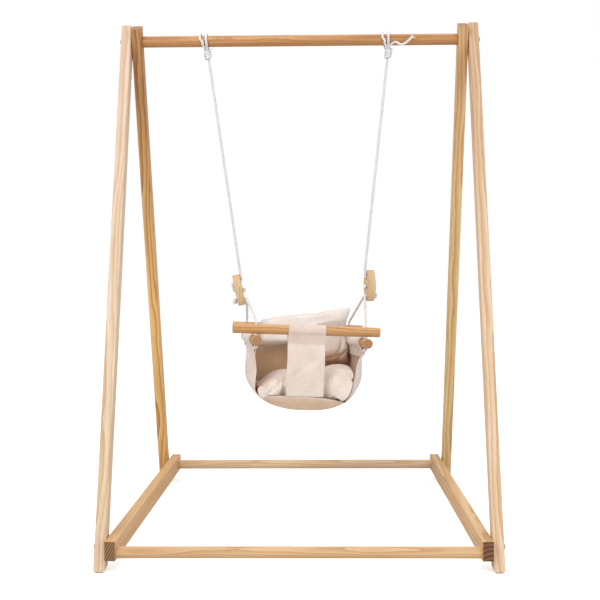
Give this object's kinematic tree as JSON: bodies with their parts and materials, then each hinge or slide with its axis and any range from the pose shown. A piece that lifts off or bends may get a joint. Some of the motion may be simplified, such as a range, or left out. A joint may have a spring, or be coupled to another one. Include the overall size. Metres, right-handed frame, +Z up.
{
  "type": "foldable baby swing",
  "caption": "Pine A-frame stand with a folding base and a canvas seat that swings on ropes under a round beam.",
  "frame": {"origin": "on the floor under the middle of the beam", "axes": "+X to the right as seen from the front, along the beam; +Y towards the back; +Z up"},
  "size_m": [1.0262, 1.0522, 1.4222],
  "materials": {
    "pale_pine": "planed pale pine, lightly oiled",
    "golden_pine": "planed golden pine, lightly oiled",
    "rail_pine": "planed pine",
    "beam_wood": "turned, orange-brown",
    "dowel_wood": "turned, pale",
    "seat_bar_wood": "turned, lightly oiled",
    "adjuster_wood": "sanded, bare",
    "steel": "zinc-plated steel",
    "nylon": "natural nylon",
    "felt": "thin felt",
    "rope": "white laid cotton rope",
    "canvas": "pinkish-beige cotton canvas",
    "cushion_cloth": "cream cotton, filled"
  },
  "bodies": {
    "rear_frame": {"left_rear_leg": "golden_pine", "right_rear_leg": "golden_pine", "left_rear_foot_pad": "felt", "right_rear_foot_pad": "felt", "beam": "beam_wood", "left_beam_bolt": "steel", "right_beam_bolt": "steel", "left_beam_washer": "nylon", "right_beam_washer": "nylon", "left_rear_bolt": "steel", "right_rear_bolt": "steel", "left_rear_spacer": "nylon", "right_rear_spacer": "nylon"},
    "left_front_frame": {"left_front_leg": "pale_pine", "left_front_foot_pad": "felt", "left_front_bolt": "steel"},
    "right_front_frame": {"right_front_leg": "pale_pine", "right_front_foot_pad": "felt", "right_front_bolt": "steel"},
    "base_frame": {"left_rail": "rail_pine", "right_rail": "rail_pine", "front_crossbar": "dowel_wood", "rear_crossbar": "dowel_wood"},
    "swing_seat": {"left_hanging_rope": "rope", "right_hanging_rope": "rope", "left_adjuster": "adjuster_wood", "right_adjuster": "adjuster_wood", "left_sling_rope": "rope", "right_sling_rope": "rope", "left_side_bar": "seat_bar_wood", "right_side_bar": "seat_bar_wood", "front_bar": "seat_bar_wood", "back_bar": "seat_bar_wood", "canvas_seat": "canvas", "back_panel": "canvas", "crotch_strap": "canvas", "seat_cushion": "cushion_cloth", "back_cushion": "cushion_cloth"}
  },
  "joints": [
    {"name": "left_front_leg_fold", "type": "hinge", "parent": "rear_frame", "child": "left_front_frame", "pos_m": [-0.4938, 0, 1.376], "axis": [1, 0, 0], "range_deg": [0, 38.5]},
    {"name": "right_front_leg_fold", "type": "hinge", "parent": "rear_frame", "child": "right_front_frame", "pos_m": [0.4938, 0, 1.376], "axis": [1, 0, 0], "range_deg": [0, 38.5]},
    {"name": "base_frame_fold", "type": "hinge", "parent": "rear_frame", "child": "base_frame", "pos_m": [0, 0.48002, 0.055], "axis": [-1, 0, 0], "range_deg": [0, 52]},
    {"name": "seat_swing", "type": "hinge", "parent": "rear_frame", "child": "swing_seat", "pos_m": [0, 0, 1.376], "axis": [1, 0, 0], "range_deg": [-35, 35]}
  ]
}
